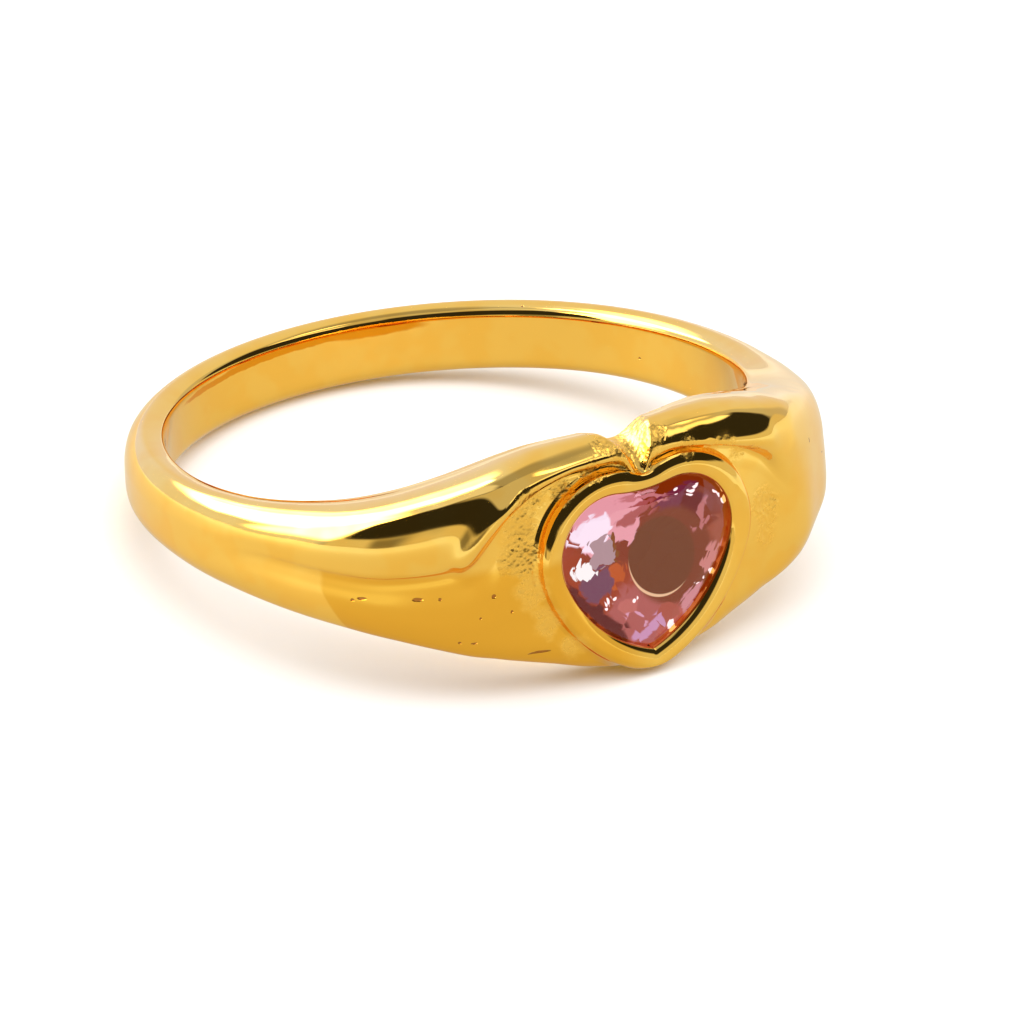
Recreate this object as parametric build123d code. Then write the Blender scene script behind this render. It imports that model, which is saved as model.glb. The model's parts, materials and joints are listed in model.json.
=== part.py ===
from build123d import *
from math import atan2, cos, degrees, radians, sin, sqrt, tan
from typing import NamedTuple
import os

os.makedirs("parts", exist_ok=True)

# Driving dimensions in millimetres.
# The ring's own frame has the finger bore along Z, the head and its stone towards -Y, and z = 0
# in the middle of the shank. The finished ring is laid down on its side at the end.

# Finger bore and shank
bore_radius = 8.65
bore_entry = 0.3
bore_entry_angle = 50.0
bore_cut_length = 20.0
shank_wall = 1.1
shank_top = 0.74
shank_bottom = 0.8
rim_rise = 0.4
rim_drop = 0.2

# Head and shoulders
head_top = 2.88
head_bottom = 3.84
lobe_wall = 2.65
brow_height = 0.55
flank_bulge = 1.03
crease_fold = 62.0
flank_flare = 8.0
band_sections = 36

# Cleft between the lobes
cleft_reach = 2.35
cleft_height = 2.15
cleft_slope = 1.0
cleft_spread = 0.36
cleft_length = 4.0
cleft_tip_radius = 0.06

# Heart stone, seen from the front
stone_lobe_offset = 1.235
stone_lobe_height = -0.12
stone_lobe_radius = 1.82
stone_dip_radius = 4.6
stone_tip_depth = 3.57
stone_side_angle = 20.0

# Heart stone, front to back
girdle_stand = 1.37
girdle_thickness = 0.14
crown_height = 0.36
table_share = 0.6
pavilion_depth = 1.05
pavilion_break = 0.5
culet_height = -0.4
outline_facets = 22

# Bezel and setting
setting_clearance = 0.04
bezel_stand = 1.68
bezel_wall = 0.58
bezel_dip_radius = 0.5
bezel_edge_radius = 0.2
bezel_tip_radius = 1.1
lip_overhang = 0.1
mouth_height = 0.6
seat_width = 0.3
pocket_wall = 0.45
back_hole_radius = 1.25
back_hole_height = -0.45

# Distances from the bore's axis, along the head
cleft_front = bore_radius + cleft_reach
girdle_face = bore_radius + girdle_stand
bezel_face = bore_radius + bezel_stand
pocket_floor = bore_radius + pocket_wall

# Search for the resting angle
contour_samples = 200
tilt_rounds = 12


class Station(NamedTuple):
    """One cross section of the half band, at an angle from the middle of the head.

    top and bottom are shares of the growth from shank to head, and wall of the growth from the
    shank's wall to the lobe's. field and flank are the shares of that wall left at the crease and
    below it, crease is its height as a share of the section's, and fold is how sharp it is.
    """

    angle: float
    top: float
    bottom: float
    wall: float
    field: float
    flank: float
    crease: float
    fold: float


STATIONS = (
    Station(0, 0.98, 1.0, 0.65, 0.6, 0.66, 0.9, 1.0),
    Station(6, 1.0, 0.97, 0.68, 0.6, 0.7, 0.95, 1.0),
    Station(12, 1.0, 0.89, 0.74, 0.62, 0.75, 0.95, 1.0),
    Station(18, 0.98, 0.78, 0.87, 0.64, 0.75, 0.92, 1.0),
    Station(24, 0.9, 0.68, 0.97, 0.71, 0.78, 0.84, 1.0),
    Station(27.5, 0.83, 0.62, 1.0, 0.77, 0.82, 0.73, 1.0),
    Station(31, 0.75, 0.57, 0.98, 0.84, 0.87, 0.6, 1.0),
    Station(37, 0.61, 0.47, 0.91, 0.9, 0.92, 0.55, 1.0),
    Station(45, 0.44, 0.34, 0.86, 0.95, 0.97, 0.53, 0.65),
    Station(54, 0.29, 0.25, 0.67, 0.98, 1.0, 0.57, 0.3),
    Station(64, 0.18, 0.19, 0.43, 1.0, 1.0, 0.6, 0.1),
    Station(78, 0.08, 0.11, 0.22, 1.0, 1.0, 0.56, 0.0),
    Station(98, 0.02, 0.03, 0.12, 1.0, 1.0, 0.5, 0.0),
    Station(124, 0.0, 0.0, 0.08, 1.0, 1.0, 0.5, 0.0),
    Station(152, 0.0, 0.0, 0.01, 1.0, 1.0, 0.5, 0.0),
    Station(180, 0.0, 0.0, 0.0, 1.0, 1.0, 0.5, 0.0),
)


class RimPoint(NamedTuple):
    """Point of a section's rounded rim: out is a share of the wall, swell one of the rim's."""

    out: float
    swell: float


UPPER_RIM = (RimPoint(0.14, 0.68), RimPoint(0.45, 1.0), RimPoint(0.85, 0.36))
LOWER_RIM = (RimPoint(0.85, 0.36), RimPoint(0.5, 1.0), RimPoint(0.15, 0.5))


def blend(before, left, right, after, share):
    """Smooth value between left and right that never passes their neighbours."""
    (x0, y0), (x1, y1), (x2, y2), (x3, y3) = before, left, right, after

    def steepness(first, middle, last):
        rise_in = (middle[1] - first[1]) / (middle[0] - first[0]) if middle[0] > first[0] else 0.0
        rise_out = (last[1] - middle[1]) / (last[0] - middle[0]) if last[0] > middle[0] else 0.0
        if rise_in * rise_out <= 0:
            return 0.0
        return 2 * rise_in * rise_out / (rise_in + rise_out)

    m1 = steepness(before, left, right) * (x2 - x1)
    m2 = steepness(left, right, after) * (x2 - x1)
    t = share
    return (
        y1 * (2 * t**3 - 3 * t**2 + 1)
        + m1 * (t**3 - 2 * t**2 + t)
        + y2 * (3 * t**2 - 2 * t**3)
        + m2 * (t**3 - t**2)
    )


def station_at(angle):
    """Section at any angle, blended smoothly between the rows of the table."""
    last = len(STATIONS) - 1
    k = max(i for i in range(last) if STATIONS[i].angle <= angle)
    rows = [STATIONS[max(k - 1, 0)], STATIONS[k], STATIONS[k + 1], STATIONS[min(k + 2, last)]]
    share = (angle - rows[1].angle) / (rows[2].angle - rows[1].angle)
    columns = [
        blend(*[(row.angle, value) for row, value in zip(rows, column)], share)
        for column in list(zip(*rows))[1:]
    ]
    return Station(angle, *columns)


def in_plane(angle, radius, height):
    """Point at a distance from the bore's axis, in the plane at an angle from the head."""
    turn = radians(angle)
    return Vector(radius * sin(turn), -radius * cos(turn), height)


def section_edges(station):
    """Upper, lower and bore edges of one cross section."""
    a = station.angle
    top = shank_top + station.top * (head_top - shank_top)
    bottom = -shank_bottom - station.bottom * (head_bottom - shank_bottom)
    wall = shank_wall + station.wall * (lobe_wall - shank_wall)
    field = wall * station.field
    flank = wall * station.flank
    crease = bottom + station.crease * (top - bottom)
    entry = radians(bore_entry_angle)
    entry_drop = bore_entry * tan(entry)
    upper = [
        (-bore_entry, top - entry_drop),
        (0, top),
        *[(point.out * wall, top + point.swell * rim_rise) for point in UPPER_RIM],
        (wall, crease + brow_height * (top - crease)),
        (field, crease),
    ]
    lower = [
        (field, crease),
        (flank_bulge * flank, (bottom + crease) / 2),
        *[(point.out * flank, bottom - point.swell * rim_drop) for point in LOWER_RIM],
        (0, bottom),
        (-bore_entry, bottom + entry_drop),
    ]
    fold = radians(crease_fold * station.fold)
    flare = radians(flank_flare * station.fold)
    upper_edge = Edge.make_spline(
        [in_plane(a, bore_radius + out, height) for out, height in upper],
        tangents=[in_plane(a, cos(entry), sin(entry)), in_plane(a, -sin(fold), -cos(fold))],
    )
    lower_edge = Edge.make_spline(
        [in_plane(a, bore_radius + out, height) for out, height in lower],
        tangents=[in_plane(a, sin(flare), -cos(flare)), in_plane(a, -cos(entry), sin(entry))],
    )
    bore_edge = Edge.make_line(lower_edge @ 1, upper_edge @ 0)
    return [upper_edge, lower_edge, bore_edge]


def build_band():
    """Shank, shoulders and lobes, with the bore cut through."""
    step = 180 / band_sections
    sections = [Wire(section_edges(station_at(i * step))) for i in range(band_sections + 1)]
    bore = Rot(Z=180) * Cylinder(bore_radius, bore_cut_length)
    half = Solid.make_loft(sections) - bore
    return half + half.mirror(Plane.YZ)


def build_cleft():
    """Scoop that parts the two lobes, widening from the bezel's cleft to the bore."""
    start = Vector(0, -cleft_front, cleft_height)
    run = Vector(0, 1, cleft_slope)
    return Solid.make_cone(
        cleft_tip_radius,
        cleft_tip_radius + cleft_length * cleft_spread,
        cleft_length,
        plane=Plane(origin=start, z_dir=run),
    )


def heart_wire(face, grow=0.0, dip_radius=None):
    """Heart outline in the plane y = -face, a distance grow outside the stone's."""
    lobe = stone_lobe_radius + grow
    dip = dip_radius if dip_radius is not None else stone_dip_radius - grow
    cx, cz = stone_lobe_offset, stone_lobe_height
    side = radians(stone_side_angle)
    # Flank circle: touches the lobe circle from outside and passes through the stone's tip.
    reach_x, reach_z = cx, cz + stone_tip_depth
    along = reach_x * cos(side) - reach_z * sin(side)
    flank = (reach_x**2 + reach_z**2 + 2 * stone_lobe_radius * along + stone_lobe_radius**2) / (
        2 * (along + stone_lobe_radius)
    )
    fx = cx - (flank - stone_lobe_radius) * cos(side)
    fz = cz + (flank - stone_lobe_radius) * sin(side)
    flank += grow
    tip_z = fz - sqrt(flank**2 - fx**2)
    # Dip circle: sits in the cleft and touches both lobe circles.
    dz = cz + sqrt((lobe + dip) ** 2 - cx**2)
    touch = atan2(dz - cz, -cx)
    joint = (cx + lobe * cos(touch), cz + lobe * sin(touch))
    shoulder = (cx + lobe * cos(-side), cz + lobe * sin(-side))
    crown = (touch - side) / 2
    lobe_top = (cx + lobe * cos(crown), cz + lobe * sin(crown))
    tip_turn = atan2(tip_z - fz, -fx)
    middle = (tip_turn - side) / 2
    flank_mid = (fx + flank * cos(middle), fz + flank * sin(middle))

    def at(point, mirror=1):
        return Vector(mirror * point[0], -face, point[1])

    return Wire(
        [
            Edge.make_three_point_arc(at(joint, -1), Vector(0, -face, dz - dip), at(joint)),
            Edge.make_three_point_arc(at(joint), at(lobe_top), at(shoulder)),
            Edge.make_three_point_arc(at(shoulder), at(flank_mid), Vector(0, -face, tip_z)),
            Edge.make_three_point_arc(Vector(0, -face, tip_z), at(flank_mid, -1), at(shoulder, -1)),
            Edge.make_three_point_arc(at(shoulder, -1), at(lobe_top, -1), at(joint, -1)),
        ]
    )


def heart_prism(back, front, grow, dip_radius=None):
    """Straight heart-shaped block between two distances from the bore's axis."""
    return Solid.extrude(Face(heart_wire(back, grow, dip_radius)), Vector(0, back - front, 0))


def heart_taper(back, back_grow, front, front_grow):
    """Heart-shaped block whose sides lean from one outline to another."""
    return Solid.make_loft([heart_wire(back, back_grow), heart_wire(front, front_grow)], ruled=True)


def build_bezel():
    """Raised heart-shaped rim before its pocket is cut."""
    block = heart_prism(pocket_floor, bezel_face, bezel_wall, bezel_dip_radius)
    tip_edge = block.edges().filter_by(Axis.Y).sort_by(Axis.Z)[0]
    block = block.fillet(bezel_tip_radius, [tip_edge])
    rim_edges = block.faces().sort_by(Axis.Y)[0].outer_wire().edges()
    return block.fillet(bezel_edge_radius, rim_edges)


def build_pocket():
    """Room for the stone: lip opening, girdle groove, leaning seat and open back."""
    gap = setting_clearance
    girdle_back = girdle_face - girdle_thickness
    seat_back = girdle_back - seat_width
    lip = heart_taper(girdle_face + gap, gap, bezel_face, -lip_overhang)
    mouth = heart_prism(bezel_face, bezel_face + mouth_height, -lip_overhang)
    girdle = heart_prism(girdle_back - gap, girdle_face + gap, gap)
    seat = heart_taper(seat_back, gap - seat_width, girdle_back - gap, gap)
    well = heart_prism(pocket_floor, seat_back, gap - seat_width)
    hole_length = pocket_floor - bore_radius + 2 * bore_entry
    hole_middle = Plane(
        origin=(0, -(pocket_floor + bore_radius) / 2, back_hole_height),
        z_dir=(0, 1, 0),
    )
    hole = hole_middle * Cylinder(back_hole_radius, hole_length)
    return mouth + lip + girdle + seat + well + hole


def build_ring_band():
    """The whole casting in the ring's own frame."""
    return build_band() - build_cleft() + build_bezel() - build_pocket()


def facet(corners):
    """Flat triangular facet."""
    return Face(Wire.make_polygon(corners, close=True))


def build_heart_stone():
    """Heart-cut stone: table, crown facets, girdle and pavilion facets meeting at the culet."""
    outline = heart_wire(girdle_face)
    count = outline_facets
    rim = [outline.position_at((i + 0.5) / count) for i in range(count)]
    centre = Vector(0, 0, culet_height)
    girdle_back = girdle_face - girdle_thickness

    def scaled(index, share, face):
        point = rim[index % count]
        return Vector(
            centre.X + share * (point.X - centre.X),
            -face,
            centre.Z + share * (point.Z - centre.Z),
        )

    front = [scaled(i, 1.0, girdle_face) for i in range(count)]
    back = [scaled(i, 1.0, girdle_back) for i in range(count)]
    table = [scaled(i, table_share, girdle_face + crown_height) for i in range(0, count, 2)]
    half = len(table)
    belt = [
        scaled(i, pavilion_break, girdle_back - pavilion_depth * (1 - pavilion_break))
        for i in range(0, count, 2)
    ]
    culet = Vector(centre.X, -(girdle_back - pavilion_depth), centre.Z)
    facets = [Face(Wire.make_polygon(table, close=True))]
    for i in range(count):
        following = (i + 1) % count
        near = (i + 1) // 2 % half
        facets.append(facet([front[i], front[following], table[near]]))
        facets.append(facet([back[i], back[following], belt[near]]))
        facets.append(facet([front[i], back[i], back[following]]))
        facets.append(facet([front[i], back[following], front[following]]))
    for k in range(half):
        following = (k + 1) % half
        side = front[(2 * k + 1) % count]
        facets.append(facet([table[k], side, table[following]]))
        facets.append(facet([belt[k], back[(2 * k + 1) % count], belt[following]]))
        facets.append(facet([belt[k], belt[following], culet]))
    return Solid(Shell(facets))


def resting_tilt():
    """Angle about X at which the head's tip and the back of the shank both touch the table."""
    head = section_edges(STATIONS[0])[1]
    back = section_edges(STATIONS[-1])[1]
    samples = [i / contour_samples for i in range(contour_samples + 1)]
    head_points = [head.position_at(t) for t in samples]
    back_points = [back.position_at(t) for t in samples]
    tilt = 0.0
    for _ in range(tilt_rounds):
        low_head = min(head_points, key=lambda p: p.Z * cos(tilt) + p.Y * sin(tilt))
        low_back = min(back_points, key=lambda p: p.Z * cos(tilt) + p.Y * sin(tilt))
        tilt = atan2(low_head.Z - low_back.Z, low_back.Y - low_head.Y)
    return degrees(tilt)


def main():
    """Build both pieces, lay the ring down on its side and write one file for each piece."""
    tilt = Rot(X=resting_tilt())
    band = tilt * build_ring_band()
    stone = tilt * build_heart_stone()
    box = band.bounding_box()
    stand = Pos(-box.center().X, -box.center().Y, -box.min.Z)
    for name, shape in (("ring_band", band), ("heart_stone", stone)):
        placed = stand * shape
        export_step(placed, f"parts/{name}.step")


main()
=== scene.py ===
"""A gold ring with a heart-cut pink stone, laid on its side on a pale table."""

from __future__ import annotations

import json
import logging
import math
from collections.abc import Iterable
from dataclasses import dataclass
from enum import Enum
from typing import NamedTuple, TypeVar

import bmesh
import bpy
from mathutils import Matrix, Vector
from mathutils.bvhtree import BVHTree

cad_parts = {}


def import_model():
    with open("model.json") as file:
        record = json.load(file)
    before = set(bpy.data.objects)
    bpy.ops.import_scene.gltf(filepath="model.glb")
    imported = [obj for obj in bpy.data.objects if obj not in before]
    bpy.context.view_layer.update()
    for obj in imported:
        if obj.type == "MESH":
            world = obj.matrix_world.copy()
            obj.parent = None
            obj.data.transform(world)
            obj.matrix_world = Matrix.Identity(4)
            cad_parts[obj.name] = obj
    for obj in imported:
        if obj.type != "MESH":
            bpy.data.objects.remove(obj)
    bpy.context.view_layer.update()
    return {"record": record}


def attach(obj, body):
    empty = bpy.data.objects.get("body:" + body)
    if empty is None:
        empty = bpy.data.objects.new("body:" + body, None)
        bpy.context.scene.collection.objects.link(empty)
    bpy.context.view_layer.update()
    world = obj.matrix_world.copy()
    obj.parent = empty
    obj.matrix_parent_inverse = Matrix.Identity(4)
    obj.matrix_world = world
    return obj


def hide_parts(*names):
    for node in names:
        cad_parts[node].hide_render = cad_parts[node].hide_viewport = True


LOG = logging.getLogger("heart_ring")
MM = 0.001
TINY = 1e-9
DOWN = -math.pi / 2
# In millimetres: the head's surface from the bore's axis, and the bore mount's height.
HEAD_RADIUS = 10.6
MOUNT_HEIGHT = -0.48
FRAME_PIXELS = 1024
SENSOR_WIDTH = 36.0
SKIN_LAYER = "cast_skin"
Quantity = TypeVar("Quantity", float, Vector)


class Station(NamedTuple):
    """One cross section of the half band; every value but the angle is a share."""

    angle: float
    top: float
    bottom: float
    wall: float
    field: float
    flank: float
    crease: float
    fold: float
    brow: float = 0.55


STATIONS = (
    Station(0, 0.98, 1.0, 0.28, 0.83, 0.91, 0.9, 1.0),
    Station(6, 1.0, 0.97, 0.31, 0.82, 0.95, 0.95, 1.0),
    Station(12, 1.0, 0.89, 0.42, 0.8, 0.96, 0.95, 1.0),
    Station(18, 0.98, 0.78, 0.64, 0.76, 0.88, 0.92, 1.0),
    Station(24, 0.9, 0.68, 0.9, 0.74, 0.82, 0.84, 1.0),
    Station(27.5, 0.83, 0.62, 1.0, 0.77, 0.82, 0.73, 1.0),
    Station(31, 0.75, 0.57, 0.98, 0.84, 0.87, 0.6, 1.0),
    Station(37, 0.61, 0.47, 0.91, 0.9, 0.92, 0.55, 1.0),
    Station(45, 0.44, 0.34, 0.86, 0.935, 0.97, 0.53, 1.0),
    Station(54, 0.29, 0.25, 0.67, 0.945, 0.985, 0.57, 0.95),
    Station(62, 0.2, 0.2, 0.46, 0.96, 1.0, 0.62, 0.9),
    Station(70, 0.13, 0.15, 0.32, 0.975, 1.0, 0.66, 0.6),
    Station(78, 0.08, 0.11, 0.22, 1.0, 1.0, 0.56, 0.0),
    Station(98, 0.02, 0.03, 0.12, 1.0, 1.0, 0.5, 0.0),
    Station(124, 0.0, 0.0, 0.08, 1.0, 1.0, 0.5, 0.0),
    Station(152, 0.0, 0.0, 0.01, 1.0, 1.0, 0.5, 0.0),
    Station(180, 0.0, 0.0, 0.0, 1.0, 1.0, 0.5, 0.0),
)

RIGHT_STATIONS = (
    STATIONS[0],
    Station(6, 1.0, 0.97, 0.31, 0.84, 0.95, 0.935, 1.0, 0.2),
    Station(12, 1.0, 0.89, 0.44, 0.84, 0.96, 0.91, 1.0, 0.04),
    Station(18, 0.98, 0.78, 0.67, 0.8, 0.88, 0.86, 1.0, 0.0),
    Station(24, 0.9, 0.68, 0.87, 0.82, 0.86, 0.79, 0.9, 0.02),
    Station(27.5, 0.83, 0.62, 0.94, 0.9, 0.92, 0.7, 0.4, 0.2),
    Station(30, 0.78, 0.58, 0.96, 0.95, 0.96, 0.6, 0.15),
    Station(34, 0.68, 0.52, 0.94, 1.0, 1.0, 0.53, 0.0),
    Station(39, 0.57, 0.44, 0.9, 0.99, 0.99, 0.5, 0.0),
    Station(45, 0.44, 0.34, 0.86, 1.0, 1.0, 0.45, 0.0),
    Station(54, 0.29, 0.25, 0.67, 1.0, 1.0, 0.5, 0.0),
    Station(64, 0.18, 0.19, 0.43, 1.0, 1.0, 0.54, 0.0),
    *[row for row in STATIONS if row.angle > 75],
)


class Side(Enum):
    """Side of the head, seen from the front, with its own table of sections."""

    LEFT = STATIONS
    RIGHT = RIGHT_STATIONS


RIDGE_LINE = (
    (-33.3, 0.32),
    (-32.7, 0.4),
    (-31.5, 0.63),
    (-29.6, 1.07),
    (-27.9, 1.5),
    (-26.3, 1.9),
    (-24.4, 2.2),
    (-22.5, 2.45),
)


class Knot(NamedTuple):
    """Point that a section's outline passes, and the number of spans up to the next one."""

    out: float
    height: float
    spans: int


class Ledge(NamedTuple):
    """One loop of the bezel: distance outside the stone, from the bore, and outside on top."""

    grow: float
    face: float
    top_grow: float | None = None


def cubic(
    left: Quantity, right: Quantity, leaving: Quantity, arriving: Quantity, share: float
) -> Quantity:
    """Smooth value between two others.

    Args:
        left: Value at the start.
        right: Value at the end.
        leaving: Slope at the start.
        arriving: Slope at the end.
        share: Place between them, from 0 to 1.

    Returns:
        The value at that place.
    """
    s = share
    return (
        left * (2 * s**3 - 3 * s**2 + 1)
        + leaving * (s**3 - 2 * s**2 + s)
        + right * (3 * s**2 - 2 * s**3)
        + arriving * (s**3 - s**2)
    )


def hermite(before: Vector, left: Vector, right: Vector, after: Vector, share: float) -> Vector:
    """Point on the rounded line through left and right.

    Args:
        before: Point ahead of left, which sets the direction there.
        left: Start of the span.
        right: End of the span.
        after: Point past right, which sets the direction there.
        share: Place along the span, from 0 to 1.

    Returns:
        The point at that place.
    """
    reach = (right - left).length

    def direction(a: Vector, b: Vector, c: Vector) -> Vector:
        """Direction of the line at the middle one of three points.

        Args:
            a: Point ahead.
            b: Point where the direction is wanted.
            c: Point past it.

        Returns:
            The direction.
        """
        first, second = (b - a).length, (c - b).length
        if first < TINY or second < TINY:
            return (c - a) / max(first + second, TINY)
        return ((b - a) / first * second + (c - b) / second * first) / (first + second)

    leaving = direction(before, left, right) * reach
    arriving = direction(left, right, after) * reach
    return cubic(left, right, leaving, arriving, share)


def ease(value: float, low: float, high: float) -> float:
    """Share that rises smoothly from 0 to 1 while the value goes from low to high."""
    share = min(max((value - low) / (high - low), 0.0), 1.0)
    return share * (share * (3 - 2 * share))


def soft_min(first: float, second: float, softness: float) -> float:
    """Lower of two values, rounded where they cross.

    Args:
        first: One value.
        second: The other value.
        softness: Width of the rounding.

    Returns:
        The lower value, a little lower still near the crossing.
    """
    h = min(max(0.5 + 0.5 * (second - first) / softness, 0.0), 1.0)
    return second + (first - second) * h - softness * h * (1 - h)


def station_at(angle: float, side: Side) -> Station:
    """Section between the table's rows, blended so that it never passes their values.

    Args:
        angle: Degrees from the middle of the head.
        side: Side of the head.

    Returns:
        The blended section.
    """
    table = side.value
    last = len(table) - 1
    k = max(i for i in range(last) if table[i].angle <= angle)
    rows = [table[max(k - 1, 0)], table[k], table[k + 1], table[min(k + 2, last)]]
    x = [row.angle for row in rows]
    t = (angle - x[1]) / (x[2] - x[1])

    def steepness(i: int, j: int, m: int, column: tuple[float, ...]) -> float:
        """Slope that keeps a column between its rows' values.

        Args:
            i: Row ahead.
            j: Row where the slope is wanted.
            m: Row past it.
            column: Values of the rows.

        Returns:
            The slope.
        """
        rise_in = (column[j] - column[i]) / (x[j] - x[i]) if x[j] > x[i] else 0.0
        rise_out = (column[m] - column[j]) / (x[m] - x[j]) if x[m] > x[j] else 0.0
        if rise_in * rise_out <= 0:
            return 0.0
        return 2 * rise_in * rise_out / (rise_in + rise_out)

    values = []
    for column in list(zip(*rows))[1:]:
        leaving = steepness(0, 1, 2, column) * (x[2] - x[1])
        arriving = steepness(1, 2, 3, column) * (x[2] - x[1])
        values.append(cubic(column[1], column[2], leaving, arriving, t))
    return Station(angle, *values)


def mesh_of(bm: bmesh.types.BMesh, name: str) -> bpy.types.Mesh:
    """Turns a bmesh into a mesh and frees it.

    Args:
        bm: Mesh to turn.
        name: Name of the new mesh.

    Returns:
        The new mesh.
    """
    mesh = bpy.data.meshes.new(name)
    bm.to_mesh(mesh)
    bm.free()
    return mesh


def stand(name: str, data: bpy.types.ID) -> bpy.types.Object:
    """Puts an object in the scene.

    Args:
        name: Name of the object.
        data: Mesh, lamp or camera that it shows.

    Returns:
        The object.
    """
    made = bpy.data.objects.new(name, data)
    bpy.context.collection.objects.link(made)
    return made


def extrude_loop(
    bm: bmesh.types.BMesh, edges: list[bmesh.types.BMEdge], points: list[Vector]
) -> list[bmesh.types.BMEdge]:
    """Extrudes a closed loop of edges onto new points.

    Args:
        bm: Mesh that holds the loop.
        edges: Edges of the loop.
        points: New place of each of its points.

    Returns:
        Edges of the new loop.
    """
    grown = bmesh.ops.extrude_edge_only(bm, edges=edges)["geom"]
    bm.verts.ensure_lookup_table()
    for vert, point in zip(bm.verts[-len(points) :], points):
        vert.co = point
    grown = [item for item in grown if isinstance(item, bmesh.types.BMEdge)]
    return [edge for edge in grown if len(edge.link_faces) == 1]


@dataclass(frozen=True)
class RingFrame:
    """Turns the ring's own millimetres, with the bore along Z, into the frame's metres."""

    matrix: Matrix

    @classmethod
    def from_record(cls, record: dict, mount_height: float) -> RingFrame:
        """Reads the bore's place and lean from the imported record.

        Args:
            record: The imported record.
            mount_height: Height of the bore mount in the ring's own frame, in millimetres.

        Returns:
            The frame of the ring.
        """
        mount = record["mounts"][0]
        axis = Vector(mount["axis"]).normalized()
        across = Vector((1.0, 0.0, 0.0))
        back = axis.cross(across)
        turn = Matrix((across, back, axis)).transposed().to_4x4()
        origin = Vector(mount["pos_m"]) - axis * mount_height * MM
        return cls(Matrix.Translation(origin) @ turn @ Matrix.Scale(MM, 4))


class PieceMaker:
    """Makes finished objects out of bmeshes in the ring's own frame."""

    SHARP_ANGLE = 60.0

    def __init__(self, ring: RingFrame) -> None:
        """Keeps the frame that every piece is placed by."""
        self.ring = ring

    def finish(
        self, bm: bmesh.types.BMesh, name: str, slot: str, node: str
    ) -> bpy.types.Object:
        """Places a bmesh and hands it to the frame.

        Args:
            bm: Mesh in the ring's own millimetres; it is freed here.
            name: Name of the piece.
            slot: Material slot of the record; not used.
            node: CAD node that the piece stands for.

        Returns:
            The finished object.
        """
        bmesh.ops.transform(bm, matrix=self.ring.matrix, verts=bm.verts)
        bmesh.ops.recalc_face_normals(bm, faces=bm.faces)
        if bm.calc_volume(signed=True) < 0:
            bmesh.ops.reverse_faces(bm, faces=bm.faces)
        mesh = mesh_of(bm, name)
        mesh.shade_smooth()
        mesh.set_sharp_from_angle(angle=math.radians(self.SHARP_ANGLE))
        piece = stand(name, mesh)
        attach(piece, "root")
        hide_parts(node)
        return piece


@dataclass
class HeartOutline:
    """Heart made of arcs: a dip, two lobes, two flanks and a rounded tip."""

    lobe_offset: float = 1.235
    lobe_height: float = -0.12
    lobe_radius: float = 1.82
    dip_radius: float = 4.6
    tip_radius: float = 0.12
    tip_depth: float = 3.57
    side_angle: float = 20.0
    dip_spans: int = 10
    lobe_spans: int = 32
    flank_spans: int = 24
    tip_spans: int = 10

    def points(
        self, grow: float, dip_radius: float, tip_radius: float
    ) -> list[tuple[float, float]]:
        """Closed outline, always with the same number of points.

        Args:
            grow: Distance outside the stone's own outline.
            dip_radius: Radius of the dip between the lobes.
            tip_radius: Radius of the rounded tip.

        Returns:
            Points (x, z), counter-clockwise from the middle of the dip.
        """
        lobe = self.lobe_radius + grow
        cx, cz = self.lobe_offset, self.lobe_height
        side = math.radians(self.side_angle)
        reach_z = cz + self.tip_depth
        along = cx * math.cos(side) - reach_z * math.sin(side)
        base = self.lobe_radius
        flank = (cx**2 + reach_z**2 + 2 * base * along + base**2) / (2 * (along + base))
        fx = cx - (flank - base) * math.cos(side)
        fz = cz + (flank - base) * math.sin(side)
        flank += grow
        dz = cz + math.sqrt((lobe + dip_radius) ** 2 - cx**2)
        touch = math.atan2(dz - cz, -cx)
        tz = fz - math.sqrt((flank - tip_radius) ** 2 - fx**2)
        turn = math.atan2(tz - fz, -fx)

        def arc(
            x: float, z: float, radius: float, start: float, end: float, spans: int
        ) -> list[tuple[float, float]]:
            """Points of an arc, without its last one."""
            angles = [start + (end - start) * i / spans for i in range(spans)]
            return [(x + radius * math.cos(a), z + radius * math.sin(a)) for a in angles]

        half = arc(0, dz, dip_radius, DOWN, touch - math.pi, self.dip_spans)
        half = [(-x, z) for x, z in half]
        half += arc(cx, cz, lobe, touch, -side, self.lobe_spans)
        half += arc(fx, fz, flank, -side, turn, self.flank_spans)
        half += arc(0, tz, tip_radius, turn, DOWN, self.tip_spans)
        half = [(abs(x), z) for x, z in half]
        tip = (0.0, tz - tip_radius)
        return half + [tip] + [(-x, z) for x, z in reversed(half[1:])]


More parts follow.
